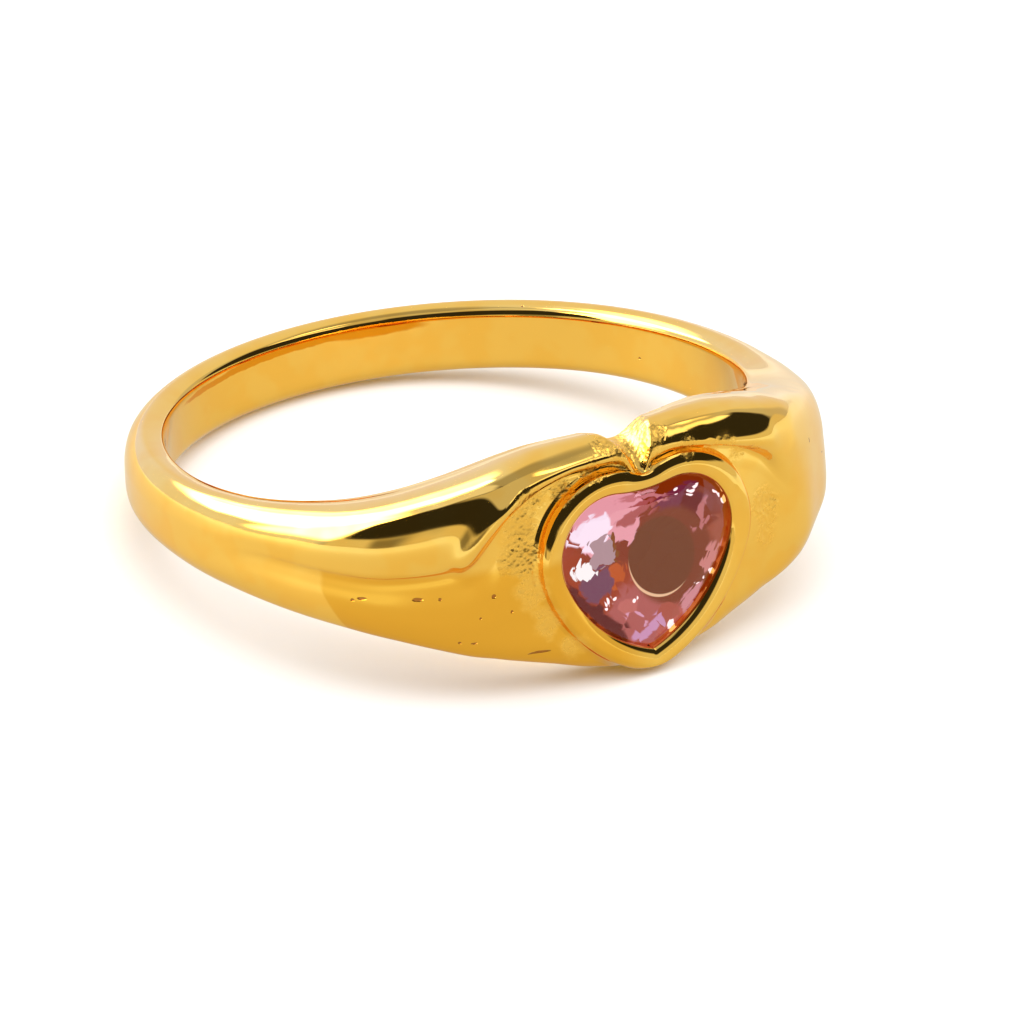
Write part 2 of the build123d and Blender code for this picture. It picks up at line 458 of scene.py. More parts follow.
@dataclass
class CastBand:
    """Shank, shoulders, lobes and recessed field, cast in one with the bezel."""

    bore_radius: float = 8.65
    entry_round: float = 0.1
    shank_wall: float = 1.1
    shank_top: float = 0.74
    shank_bottom: float = 0.8
    rim_rise: float = 0.4
    rim_drop: float = 0.2
    head_top: float = 2.88
    head_bottom: float = 3.84
    lobe_wall: float = 2.65
    flank_bulge: float = 1.02
    fold_pinch: float = 0.035
    lower_flank: float = 0.975
    turn_bulge: float = 0.01
    turn_shares: tuple[float, ...] = (0.3, 0.48, 0.6, 0.72)
    scoop_middle: float = -0.12
    scoop_front: float = -10.4
    scoop_floor: float = 2.3
    scoop_slope: float = 0.34
    scoop_width: float = 0.2
    scoop_spread: float = 0.5
    scoop_depth: float = 0.5
    scoop_softness: float = 0.3
    scoop_root: float = 1.2
    scoop_margin: float = 0.05
    scoop_play: float = 0.01
    ridge_line: tuple[tuple[float, float], ...] = RIDGE_LINE
    ridge_rise: float = 0.25
    ridge_reach: float = 0.34
    ridge_angles: tuple[float, float] = (-38.0, -19.0)
    ridge_lowest: float = -0.5
    ridge_ends: tuple[float, float] = (0.12, 0.2)
    ridge_wall: float = 0.4
    blank_reach: float = 1.0
    blank_radius: float = 0.5
    rings: int = 240
    head_density: float = 0.6

    def knots(self, station: Station) -> list[Knot]:
        """Outline of one section, from the bore's upper edge round to the lower one.

        Args:
            station: The section's shares.

        Returns:
            Points that the outline passes, out from the bore and up from the shank's middle.
        """
        top = self.shank_top + station.top * (self.head_top - self.shank_top)
        bottom = -self.shank_bottom - station.bottom * (self.head_bottom - self.shank_bottom)
        wall = self.shank_wall + station.wall * (self.lobe_wall - self.shank_wall)
        field, flank = wall * station.field, wall * station.flank
        crease = bottom + station.crease * (top - bottom)
        edge = self.entry_round
        brow = Vector((wall, crease + station.brow * (top - crease)))
        bulge = self.flank_bulge - self.fold_pinch * station.fold
        side = Vector((bulge * flank, (bottom + crease) / 2))
        lift, drop = brow.y - crease, crease - bottom
        folded = (
            (wall - 0.2 * (wall - field), crease + 0.38 * lift),
            (wall - 0.66 * (wall - field), crease + 0.07 * lift),
            (field - 0.01, crease - 0.03),
            (field - 0.004, crease - 0.36),
        )
        swell = Vector((self.turn_bulge * wall, 0.0))
        turn = [
            (brow.lerp(side, share) + 4 * share * (1 - share) * swell).lerp(
                Vector(point), station.fold
            )
            for share, point in zip(self.turn_shares, folded)
        ]
        return [
            Knot(0.0, top + 0.3 * edge, 2),
            Knot(0.25 * edge, top + 1.6 * edge, 3),
            Knot(0.9 * edge, top + 2.7 * edge, 3),
            Knot(0.17 * wall, top + 0.82 * self.rim_rise, 3),
            Knot(0.3 * wall, top + 0.94 * self.rim_rise, 3),
            Knot(0.5 * wall, top + self.rim_rise, 5),
            Knot(0.85 * wall, top + 0.36 * self.rim_rise, 6),
            Knot(*brow, 5),
            *[Knot(*point, spans) for point, spans in zip(turn, (4, 4, 3, 6))],
            Knot(*side, 5),
            Knot(self.lower_flank * side.x, bottom + 0.25 * drop, 4),
            Knot(0.85 * flank, bottom - 0.36 * self.rim_drop, 6),
            Knot(0.5 * flank, bottom - self.rim_drop, 5),
            Knot(0.15 * flank, bottom - 0.5 * self.rim_drop, 3),
            Knot(0.0, bottom + 1.2 * edge, 5),
        ]

    def outline(self, station: Station) -> list[tuple[float, float]]:
        """Points along one section, as many for every section.

        Args:
            station: The section's shares.

        Returns:
            Points (out, height) round the closed outline.
        """
        knots = self.knots(station)
        places = [Vector((knot.out, knot.height)) for knot in knots]
        line = []
        for i, knot in enumerate(knots[:-1]):
            before = places[i - 1] if i else places[0] + Vector((0.0, -1.0))
            after = places[i + 2] if i + 2 < len(places) else places[-1] + Vector((0.0, 1.0))
            for step in range(knot.spans):
                point = hermite(before, places[i], places[i + 1], after, step / knot.spans)
                line.append((max(point.x, 0.0), point.y))
        last, first = places[-1], places[0]
        for step in range(knots[-1].spans):
            point = last.lerp(first, step / knots[-1].spans)
            line.append((0.0, point.y))
        return line

    def scoop(self, point: Vector) -> Vector:
        """Lowers a point of the top into the scoop that parts the two lobes.

        Args:
            point: Point of the band.

        Returns:
            The point, on the scoop's floor if it stood above it.
        """
        back = max(point.y - self.scoop_front, 0.0)
        if point.y > 0 or point.z < self.scoop_root:
            return point
        floor = self.scoop_floor + self.scoop_slope * back
        half = self.scoop_width + self.scoop_spread * back
        rise = self.scoop_depth * ((point.x - self.scoop_middle) / half) ** 2
        crest = self.head_top + self.rim_rise - self.scoop_margin
        lowered = soft_min(crest, floor + rise, self.scoop_softness)
        share = ease(point.z, self.scoop_root, crest)
        drop = share * max(crest - lowered - self.scoop_play, 0.0)
        return Vector((point.x, point.y, point.z - drop))

    def ridge(self, angle: float, height: float) -> float:
        """Rise of the low ridge that rounds off the left lobe's nose.

        Args:
            angle: Degrees from the middle of the head.
            height: Height above the ring's middle.

        Returns:
            The rise, in millimetres.
        """
        left, right = self.ridge_angles
        if not left < angle < right or height < self.ridge_lowest:
            return 0.0
        across = math.radians(1.0) * (self.bore_radius + self.lobe_wall)
        here = Vector((angle * across, height))
        line = [Vector((a * across, h)) for a, h in self.ridge_line]
        best, along = math.inf, 0.0
        for i, (start, end) in enumerate(zip(line, line[1:])):
            run = end - start
            share = min(max((here - start).dot(run) / run.length_squared, 0.0), 1.0)
            far = (here - start - share * run).length
            if far < best:
                best, along = far, (i + share) / (len(line) - 1)
        fade = min(along / self.ridge_ends[0], (1.0 - along) / self.ridge_ends[1], 1.0)
        return self.ridge_rise * fade * math.exp(-((best / self.ridge_reach) ** 2))

    def build(self) -> bmesh.types.BMesh:
        """Spins one section round the bore and shapes every ring by its station.

        Returns:
            The closed band, in the ring's own millimetres.
        """
        count = len(self.outline(STATIONS[0]))
        bm = bmesh.new()
        reach = self.bore_radius + self.blank_reach
        place = Matrix.Translation((0, -reach, 0)) @ Matrix.Rotation(math.pi / 2, 4, "Y")
        bmesh.ops.create_circle(bm, segments=count, radius=self.blank_radius, matrix=place)
        bmesh.ops.spin(
            bm,
            geom=bm.verts[:] + bm.edges[:],
            cent=(0, 0, 0),
            axis=(0, 0, 1),
            angle=2 * math.pi,
            steps=self.rings,
            use_merge=True,
        )
        bmesh.ops.remove_doubles(bm, verts=bm.verts, dist=1e-4)
        step = 2 * math.pi / self.rings
        sections: dict[int, list[tuple[float, float]]] = {}
        for vert in bm.verts:
            x, y, z = vert.co
            ring = round(math.atan2(x, -y) / step)
            turn = ring * step
            turn -= self.head_density * math.sin(turn)
            key = ring if ring > -self.rings / 2 else self.rings // 2
            if key not in sections:
                side = Side.RIGHT if turn > 0 else Side.LEFT
                angle = min(abs(math.degrees(turn)), 180.0)
                sections[key] = self.outline(station_at(angle, side))
            share = math.atan2(z, math.hypot(x, y) - reach) / (2 * math.pi)
            out, height = sections[key][round(share * count) % count]
            radius = self.bore_radius + out
            if out > self.ridge_wall * self.lobe_wall:
                radius += self.ridge(math.degrees(turn), height)
            across, ahead = radius * math.sin(turn), -radius * math.cos(turn)
            vert.co = self.scoop(Vector((across, ahead, height)))
        bmesh.ops.recalc_face_normals(bm, faces=bm.faces)
        return bm


# The rim's outer rounding: inset and drop, as shares of the shoulder.
ROUNDING = ((0.0, 1.15), (0.12, 0.8), (0.42, 0.46), (0.7, 0.19), (0.9, 0.05), (1.1, 0.0))

# The foot's hollow: shares of its spread outside the wall, and millimetres over the field.
FOOT = ((1.0, -0.03), (0.55, 0.01), (0.25, 0.05), (0.06, 0.12))


@dataclass
class HeartBezel:
    """Raised heart-shaped rim with its foot on the field and its lip over the stone."""

    wall: float = 0.6
    shoulder: float = 0.14
    top_shoulder: float = 0.33
    top_start: float = 0.2
    top_end: float = 1.3
    foot_spread: float = 0.2
    face: float = 10.318
    outer_dip_radius: float = 0.5
    outer_tip_radius: float = 1.1
    hidden_face: float = 10.12
    missed_face: float = 9.12
    lowest: float = 4.02
    lowest_foot: float = 3.82
    lowest_rounding: float = 0.12
    sight: float = 20.0

    def ledges(self) -> list[Ledge]:
        """Loops above the foot, from the outer wall over the rim and down to the stone.

        Returns:
            The loops, in that order.
        """
        w, f, r, t = self.wall, self.face, self.shoulder, self.top_shoulder
        return [
            *[Ledge(w - inset * r, f - drop * r, w - inset * t) for inset, drop in ROUNDING],
            Ledge(0.62 * w, f - 0.006, 0.4 * w),
            Ledge(0.4 * w, f - 0.015, 0.3 * w),
            Ledge(0.2 * w, f - 0.035),
            Ledge(0.03 * w, f - 0.065),
            Ledge(-0.05, f - 0.1),
            Ledge(-0.09, f - 0.16),
            Ledge(-0.1, f - 0.24),
            Ledge(-0.1, f - 0.36),
            Ledge(-0.26, f - 0.6),
            Ledge(-0.3, f - 1.2),
        ]

    def loop(
        self, heart: HeartOutline, grow: float, lowest: float
    ) -> list[tuple[float, float]]:
        """Outline of one loop, rounder at the dip and tip the further out it lies.

        Args:
            heart: Outline of the stone.
            grow: Distance outside the stone.
            lowest: Depth below the ring's middle that the loop keeps above.

        Returns:
            Points (x, z).
        """
        share = min(max(grow / self.wall, 0.0), 1.0)
        dip = heart.dip_radius + (self.outer_dip_radius - heart.dip_radius) * share
        tip = heart.tip_radius + (self.outer_tip_radius - heart.tip_radius) * share
        loop = heart.points(grow, dip, tip)
        return [(x, -soft_min(-z, lowest, self.lowest_rounding)) for x, z in loop]

    def blend(self, low: tuple[float, float], high: tuple[float, float]) -> tuple[float, float]:
        """Point between two loops, going over to the second one towards the top.

        Args:
            low: Point (x, z) of the loop that holds round the tip.
            high: Point of the loop that holds over the lobes.

        Returns:
            The blended point.
        """
        share = ease(low[1], self.top_start, self.top_end)
        return (low[0] + (high[0] - low[0]) * share, low[1] + (high[1] - low[1]) * share)

    def build(self, heart: HeartOutline, band: bmesh.types.BMesh) -> bmesh.types.BMesh:
        """Extrudes the rim loop by loop, starting on the band's own surface.

        Args:
            heart: Outline of the stone.
            band: Band that the foot rests on, in the ring's own millimetres.

        Returns:
            The rim, closed underneath where it is sunk in the band.
        """
        tree = BVHTree.FromBMesh(band)

        def field(x: float, z: float) -> float:
            """Distance of the band's surface from the bore's axis."""
            hit = tree.ray_cast(Vector((x, -self.sight, z)), Vector((0.0, 1.0, 0.0)))[0]
            return min(-hit.y, self.hidden_face) if hit else self.missed_face

        bm = bmesh.new()
        loops = []
        for share, rise in FOOT:
            line = self.loop(heart, self.wall + share * self.foot_spread, self.lowest_foot)
            loops.append([Vector((x, -field(x, z) - rise, z)) for x, z in line])
        for row in self.ledges():
            line = self.loop(heart, row.grow, self.lowest)
            if row.top_grow is not None:
                top = self.loop(heart, row.top_grow, self.lowest)
                line = [self.blend(low, high) for low, high in zip(line, top)]
            loops.append([Vector((x, -row.face, z)) for x, z in line])
        ring = [bm.verts.new(point) for point in loops[0]]
        edges = [bm.edges.new((ring[i - 1], ring[i])) for i in range(len(ring))]
        for target in loops[1:]:
            edges = extrude_loop(bm, edges, target)
        first = [edge for edge in bm.edges if len(edge.link_faces) == 1]
        bmesh.ops.bridge_loops(bm, edges=first)
        return bm


class Carver:
    """Subdivides a mesh and takes cutters out of it."""

    @staticmethod
    def carve(
        solid: bmesh.types.BMesh, cutters: Iterable[bmesh.types.BMesh], levels: int
    ) -> bmesh.types.BMesh:
        """Smooths the solid, then cuts it.

        Args:
            solid: Mesh to cut; it is freed here.
            cutters: Closed meshes to take out; they are freed here.
            levels: Levels of subdivision before the cut.

        Returns:
            The cut mesh.
        """
        made = [stand("blank", mesh_of(bm, "blank")) for bm in (solid, *cutters)]
        target, *tools = made
        smooth = target.modifiers.new("smooth", "SUBSURF")
        smooth.levels = smooth.render_levels = levels
        for tool in tools:
            cut = target.modifiers.new("cut", "BOOLEAN")
            cut.operation, cut.solver, cut.object = "DIFFERENCE", "EXACT", tool
        depsgraph = bpy.context.evaluated_depsgraph_get()
        result = bmesh.new()
        result.from_object(target, depsgraph)
        for blank in made:
            mesh = blank.data
            bpy.data.objects.remove(blank)
            bpy.data.meshes.remove(mesh)
        return result


@dataclass
class StonePocket:
    """Room for the stone in the band, and the open back behind it."""

    wall: float = 0.2
    front: float = 11.4
    floor: float = 9.1
    dip_radius: float = 4.4
    tip_radius: float = 0.3
    overlap: float = 0.2
    hole_radius: float = 1.25
    hole_height: float = -0.45
    hole_back: float = 8.0
    hole_segments: int = 64

    def build(self, heart: HeartOutline) -> list[bmesh.types.BMesh]:
        """Makes the cutters.

        Args:
            heart: Outline of the stone.

        Returns:
            The heart-shaped block and the round plug.
        """
        block = bmesh.new()
        outline = heart.points(self.wall, self.dip_radius, self.tip_radius)
        face = block.faces.new([block.verts.new((x, -self.floor, z)) for x, z in outline])
        grown = bmesh.ops.extrude_face_region(block, geom=[face])["geom"]
        verts = [item for item in grown if isinstance(item, bmesh.types.BMVert)]
        bmesh.ops.translate(block, vec=(0, self.floor - self.front, 0), verts=verts)
        bmesh.ops.recalc_face_normals(block, faces=block.faces)
        plug = bmesh.new()
        middle = -(self.floor + self.overlap + self.hole_back) / 2
        bmesh.ops.create_cone(
            plug,
            cap_ends=True,
            segments=self.hole_segments,
            radius1=self.hole_radius,
            radius2=self.hole_radius,
            depth=self.floor + self.overlap - self.hole_back,
            matrix=Matrix.Translation((0, middle, self.hole_height))
            @ Matrix.Rotation(math.pi / 2, 4, "X"),
        )
        return [block, plug]


class FacetRow(NamedTuple):
    """Loop of the stone: its share of the outline, its rise over the girdle and its turn."""

    share: float
    rise: float
    turned: bool = True


@dataclass
class HeartStone:
    """Heart-cut stone: a wide table, two rows of crown facets and a deep faceted back."""

    girdle_face: float = 10.02
    centre_height: float = -0.4
    back_start: float = 0.1
    rows: tuple[FacetRow, ...] = (
        FacetRow(0.74, 0.27, False),
        FacetRow(0.87, 0.18),
        FacetRow(1.0, 0.0),
        FacetRow(1.0, -0.14, False),
        FacetRow(0.72, -0.5),
        FacetRow(0.42, -0.86),
        FacetRow(0.18, -1.08),
    )

    def build(self, heart: HeartOutline) -> bmesh.types.BMesh:
        """Extrudes the outline row by row, most rows turned by half a facet.

        Args:
            heart: Outline of the stone, with as many points as it has facets.

        Returns:
            The closed stone with flat facets.
        """
        flat = heart.points(0.0, heart.dip_radius, heart.tip_radius)
        outline = [Vector((x, 0.0, z)) for x, z in flat]
        centre = Vector((0.0, 0.0, self.centre_height))
        bm = bmesh.new()
        edges: list[bmesh.types.BMEdge] = []
        half = 0
        for row in self.rows:
            half += int(row.turned)
            points = []
            for i in range(len(outline)):
                first = outline[(i + half // 2) % len(outline)]
                second = outline[(i + half // 2 + 1) % len(outline)]
                at = first.lerp(second, 0.5) if half % 2 else first
                at = centre.lerp(at, row.share)
                points.append(Vector((at.x, -self.girdle_face - row.rise, at.z)))
            if edges:
                edges = extrude_loop(bm, edges, points)
            else:
                ring = [bm.verts.new(point) for point in points]
                bm.faces.new(ring)
                edges = [bm.edges.get((ring[i - 1], ring[i])) for i in range(len(ring))]
        bmesh.ops.holes_fill(bm, edges=edges)
        sides = [face for face in bm.faces if len(face.verts) == 4]
        bmesh.ops.triangulate(bm, faces=sides, quad_method="SHORT_EDGE")
        for face in bm.faces:
            front = face.calc_center_median().y <= -self.girdle_face + self.back_start
            face.material_index = 0 if front else 1
        return bm


class NodeDesk:
    """Adds and links the nodes of one tree."""

    def __init__(self, tree: bpy.types.NodeTree) -> None:
        """Keeps the tree that is worked on."""
        self.tree = tree

    @staticmethod
    def group(
        name: str, inputs: Iterable[str], output: str
    ) -> tuple[NodeDesk, bpy.types.NodeOutputs, bpy.types.NodeSocket]:
        """Starts a node group with a vector, some values and one result.

        Args:
            name: Name of the group.
            inputs: Names of its values.
            output: Name of its result.

        Returns:
            The desk, the group's values and the socket for its result.
        """
        tree = bpy.data.node_groups.new(name, "ShaderNodeTree")
        tree.interface.new_socket("Vector", in_out="INPUT", socket_type="NodeSocketVector")
        for value in inputs:
            tree.interface.new_socket(value, in_out="INPUT", socket_type="NodeSocketFloat")
        tree.interface.new_socket(output, in_out="OUTPUT", socket_type="NodeSocketFloat")
        inward = tree.nodes.new("NodeGroupInput")
        outward = tree.nodes.new("NodeGroupOutput")
        return NodeDesk(tree), inward.outputs, outward.inputs[output]

    def plug(self, socket: bpy.types.NodeSocket, value: object) -> None:
        """Links a socket or sets a plain value.

        Args:
            socket: Input to feed.
            value: Plain value, or the socket that it comes from.
        """
        if isinstance(value, bpy.types.NodeSocket):
            self.tree.links.new(value, socket)
        else:
            socket.default_value = value

    def fill(self, node: bpy.types.Node, **inputs: object) -> None:
        """Sets or links a node's inputs by name, with _ for a space."""
        for name, value in inputs.items():
            self.plug(node.inputs[name.replace("_", " ")], value)

    def feed(self, node: bpy.types.Node, values: Iterable[object]) -> None:
        """Sets or links a node's inputs in order."""
        for socket, value in zip(node.inputs, values):
            self.plug(socket, value)

    def add(self, kind: str, **inputs: object) -> bpy.types.Node:
        """Adds a node and sets or links its inputs.

        Args:
            kind: Type of the node, without its "ShaderNode" beginning.
            **inputs: Values or sockets by input name, with _ for a space.

        Returns:
            The node.
        """
        node = self.tree.nodes.new("ShaderNode" + kind)
        self.fill(node, **inputs)
        return node

    def math(self, operation: str, *values: object) -> bpy.types.NodeSocket:
        """Adds a Math node.

        Args:
            operation: Name of the operation.
            *values: Values or sockets, in order.

        Returns:
            The result's socket.
        """
        node = self.add("Math")
        node.operation = operation
        self.feed(node, values)
        return node.outputs[0]

    def vector(self, operation: str, *values: object) -> bpy.types.NodeSocket:
        """Adds a Vector Math node.

        Args:
            operation: Name of the operation.
            *values: Vectors or sockets, in order.

        Returns:
            The result's socket, a number for a length or a dot product.
        """
        node = self.add("VectorMath")
        node.operation = operation
        self.feed(node, values)
        return node.outputs["Value" if operation in ("LENGTH", "DOT_PRODUCT") else "Vector"]

    def ramp(self, value: object, low: object, high: object) -> bpy.types.NodeSocket:
        """Rises smoothly from 0 to 1 while the value goes from low to high.

        Args:
            value: Value to follow.
            low: Value at 0.
            high: Value at 1, which may lie below the other.

        Returns:
            The result's socket.
        """
        node = self.add("MapRange", Value=value, From_Min=low, From_Max=high)
        node.interpolation_type = "SMOOTHSTEP"
        return node.outputs["Result"]

    def mix(self, factor: object, first: object, second: object) -> bpy.types.NodeSocket:
        """Blends two colours.

        Args:
            factor: Share of the second colour.
            first: Colour or socket.
            second: Colour or socket.

        Returns:
            The blended colour.
        """
        node = self.add("Mix")
        node.data_type = "RGBA"
        # A Mix node keeps its colours in its seventh and eighth input and its third output.
        for index, value in ((0, factor), (6, first), (7, second)):
            if isinstance(value, tuple) and len(value) == 3:
                value = (*value, 1.0)
            self.plug(node.inputs[index], value)
        return node.outputs[2]

    def use(self, group: bpy.types.NodeTree, *values: object) -> bpy.types.NodeSocket:
        """Places a group.

        Args:
            group: Group to place.
            *values: Values or sockets for its inputs, in order.

        Returns:
            The group's result.
        """
        node = self.add("Group")
        node.node_tree = group
        node.label = group.name
        self.feed(node, values)
        return node.outputs[0]


def new_material(name: str) -> tuple[bpy.types.Material, NodeDesk, bpy.types.Node]:
    """Starts a material.

    Args:
        name: Name of the material.

    Returns:
        The material, its desk and its shader.
    """
    material = bpy.data.materials.new(name)
    material.use_nodes = True
    desk = NodeDesk(material.node_tree)
    return material, desk, desk.tree.nodes["Principled BSDF"]


class EffectGroups:
    """Node groups that the materials share, each built once."""

    LUMP_SCALE = 3.0
    LUMP_WEIGHT = 2.0
    SAND_MIDDLE = 1.5
    NICK_EDGE = (1.2, 0.5)

    def __init__(self, ring: RingFrame) -> None:
        """Builds the groups.

        Args:
            ring: Frame of the ring, which places the patterns.
        """
        self.ring = ring
        self.sand = self.build_sand()
        self.waves = self.build_waves()
        self.pits = self.build_pits()
        self.patch = self.build_patch()
        self.nick = self.build_nick()

    def build_sand(self) -> bpy.types.NodeTree:
        """Builds the sandy skin left by the mould.

        Returns:
            Group that gives a height in millimetres.
        """
        names = ("Mask", "Grain", "Depth")
        desk, values, outward = NodeDesk.group("cast_sand", names, "Height")
        grain = desk.add("TexVoronoi", Vector=values["Vector"], Scale=values["Grain"])
        lump = desk.add("TexNoise", Vector=values["Vector"], Scale=self.LUMP_SCALE, Detail=2.0)
        grain, lump = grain.outputs["Distance"], lump.outputs[0]
        sharp = desk.math("MULTIPLY_ADD", lump, self.LUMP_WEIGHT, grain)
        sharp = desk.math("SUBTRACT", sharp, self.SAND_MIDDLE)
        depth = desk.math("MULTIPLY", values["Mask"], values["Depth"])
        desk.plug(outward, desk.math("MULTIPLY", sharp, depth))
        return desk.tree

    def build_waves(self) -> bpy.types.NodeTree:
        """Builds the slow unevenness of a surface polished by hand.

        Returns:
            Group that gives a height in millimetres.
        """
        desk, values, outward = NodeDesk.group("hand_polish", ("Scale", "Depth"), "Height")
        wave = desk.add("TexNoise", Vector=values["Vector"], Scale=values["Scale"], Detail=1.5)
        desk.plug(outward, desk.math("MULTIPLY", wave.outputs[0], values["Depth"]))
        return desk.tree

    def build_pits(self) -> bpy.types.NodeTree:
        """Builds small casting pits, scattered in some of a pattern's cells.

        Returns:
            Group that gives their mask.
        """
        desk, values, outward = NodeDesk.group(
            "casting_pits", ("Scale", "Share", "Radius"), "Mask"
        )
        cells = desk.add("TexVoronoi", Vector=values["Vector"], Scale=values["Scale"])
        split = desk.add("SeparateColor", Color=cells.outputs["Color"])
        chosen = desk.math("LESS_THAN", split.outputs[0], values["Share"])
        inner = desk.math("MULTIPLY", values["Radius"], 0.5)
        near = desk.ramp(cells.outputs["Distance"], values["Radius"], inner)
        desk.plug(outward, desk.math("MULTIPLY", near, chosen))
        return desk.tree

    def build_nick(self) -> bpy.types.NodeTree:
        """Builds a small ragged nick, or a streak of painted reflection, at an angle and height
        of the band.

        Returns:
            Group that gives its mask.
        """
        names = ("Angle", "Height", "Reach Across", "Reach Up")
        desk, values, outward = NodeDesk.group("nick", names, "Mask")
        split = desk.add("SeparateXYZ", Vector=values["Vector"])
        front = desk.math("MULTIPLY", split.outputs["Y"], -1.0)
        turn = desk.math("ARCTAN2", split.outputs["X"], front)
        turn = desk.math("SUBTRACT", turn, desk.math("RADIANS", values["Angle"]))
        turn = desk.math("WRAP", turn, math.pi, -math.pi)
        across = desk.math("MULTIPLY", turn, HEAD_RADIUS)
        across = desk.math("DIVIDE", across, values["Reach Across"])
        up = desk.math("SUBTRACT", split.outputs["Z"], values["Height"])
        up = desk.math("DIVIDE", up, values["Reach Up"])
        far = desk.math("ADD", desk.math("POWER", across, 2.0), desk.math("POWER", up, 2.0))
        desk.plug(outward, desk.ramp(far, *self.NICK_EDGE))
        return desk.tree

    def build_patch(self) -> bpy.types.NodeTree:
        """Builds a leaning oval patch on the stone, seen from the front.

        Returns:
            Group that gives its mask.
        """
        names = ("Centre X", "Centre Z", "Reach X", "Reach Z", "Lean", "Softness")
        desk, values, outward = NodeDesk.group("oval_patch", names, "Mask")
        split = desk.add("SeparateXYZ", Vector=values["Vector"])
        across = desk.math("SUBTRACT", split.outputs["X"], values["Centre X"])
        along = desk.math("SUBTRACT", split.outputs["Z"], values["Centre Z"])
        turn = desk.math("RADIANS", values["Lean"])
        cos, sin = desk.math("COSINE", turn), desk.math("SINE", turn)
        squares = []
        for operation, one, other, reach in (
            ("ADD", across, along, "Reach X"),
            ("SUBTRACT", along, across, "Reach Z"),
        ):
            part = desk.math("MULTIPLY", other, sin)
            part = desk.math(operation, desk.math("MULTIPLY", one, cos), part)
            squares.append(desk.math("POWER", desk.math("DIVIDE", part, values[reach]), 2.0))
        far = desk.math("SQRT", desk.math("ADD", *squares))
        edge = desk.math("ADD", 1.0, values["Softness"])
        desk.plug(outward, desk.ramp(far, edge, 1.0))
        return desk.tree

    def place(self, desk: NodeDesk) -> bpy.types.NodeSocket:
        """Turns Object coordinates into the ring's own millimetres.

        Args:
            desk: Desk of the material.

        Returns:
            The place.
        """
        turn = self.ring.matrix
        mapping = desk.add("Mapping", Vector=desk.add("TexCoord").outputs["Object"])
        mapping.vector_type = "TEXTURE"
        desk.fill(mapping, Location=turn.translation, Rotation=turn.to_euler())
        desk.fill(mapping, Scale=(MM, MM, MM))
        return mapping.outputs[0]

    @staticmethod
    def shift(
        desk: NodeDesk, place: bpy.types.NodeSocket, pattern: bpy.types.Node, reach: float
    ) -> bpy.types.NodeSocket:
        """Moves a place to and fro by a pattern's colour.

        Args:
            desk: Desk of the material.
            place: Place to move.
            pattern: Texture node whose colour sets the way.
            reach: Width of the range of the move.

        Returns:
            The moved place.
        """
        moved = desk.vector("MULTIPLY_ADD", pattern.outputs["Color"], (reach,) * 3, place)
        return desk.vector("ADD", moved, (-0.5 * reach,) * 3)


class Patch(NamedTuple):
    """Oval of painted light on the stone's back facets, in the ring's own millimetres."""

    across: float
    height: float
    reach_x: float
    reach_z: float
    lean: float
    softness: float
    colour: tuple[float, float, float]
    jagged: bool = True


# Painted light on the stone's back: glowing ovals that stand in for reflections and light
# returned by the facets.
STONE_PAINTED_LIGHT = (
    Patch(0.5, 0.3, 2.1, 1.15, 8, 0.4, (0.22, 0.025, 0.0)),
    Patch(0.0, -2.4, 1.2, 0.8, 0, 0.4, (0.42, 0.1, 0.09)),
    Patch(2.45, -0.95, 0.3, 0.7, 0, 0.3, (0.34, 0.07, 0.03)),
    Patch(-0.5, -2.1, 0.35, 0.3, 0, 0.2, (0.52, 0.14, 0.12)),
    Patch(0.9, -2.7, 0.6, 0.3, 40, 0.2, (0.48, 0.1, 0.08)),
    Patch(1.3, 0.8, 0.65, 0.3, 20, 0.2, (0.17, 0.02, 0.05)),
    Patch(1.9, 0.5, 0.35, 0.45, 0, 0.2, (0.13, 0.0, 0.0)),
    Patch(1.05, -0.95, 1.2, 1.35, 0, 0.2, (0.2, 0.035, 0.005), False),
    Patch(0.7, -1.02, 1.0, 1.1, 0, 0.03, (0.85, 0.55, 0.32), False),
    Patch(0.76, -0.89, 1.05, 1.16, 0, 0.03, (0.15, 0.035, 0.003), False),
    Patch(-0.8, -1.1, 0.32, 0.3, 0, 0.2, (0.5, 0.08, 0.0)),
    Patch(-1.5, -1.15, 0.42, 0.4, 0, 0.3, (0.16, 0.05, 0.1)),
    Patch(-1.65, -2.1, 1.3, 0.24, -48, 0.4, (0.1, 0.0, 0.0)),
    Patch(-1.15, 0.6, 1.25, 0.95, -15, 0.05, (0.82, 0.36, 0.42)),
    Patch(-1.65, 0.45, 0.75, 0.5, 0, 0.15, (1.0, 0.86, 1.0)),
    Patch(2.1, 0.1, 0.12, 0.5, -15, 0.4, (0.5, 0.16, 0.16)),
    Patch(2.35, -1.15, 0.12, 0.4, -30, 0.4, (0.6, 0.22, 0.2)),
    Patch(1.5, -2.35, 0.45, 0.12, 40, 0.4, (0.62, 0.25, 0.28)),
    Patch(0.1, -2.85, 0.5, 0.16, 30, 0.4, (0.6, 0.3, 0.5)),
    Patch(-0.35, -2.45, 0.3, 0.1, -30, 0.4, (0.7, 0.35, 0.5)),
    Patch(0.65, -2.65, 0.3, 0.22, 0, 0.1, (0.4, 0.08, 0.05)),
    Patch(0.2, 1.0, 0.7, 0.08, -10, 0.5, (0.6, 0.2, 0.22)),
    Patch(-0.1, 0.55, 0.5, 0.16, 20, 0.5, (0.42, 0.09, 0.09)),
    Patch(-1.15, -0.3, 0.55, 0.4, 0, 0.05, (0.42, 0.28, 0.31)),
    Patch(-0.66, -0.3, 0.1, 0.36, 0, 0.1, (0.22, 0.06, 0.0)),
    Patch(-1.95, -0.6, 0.36, 0.33, 0, 0.1, (1.0, 1.0, 1.0)),
)
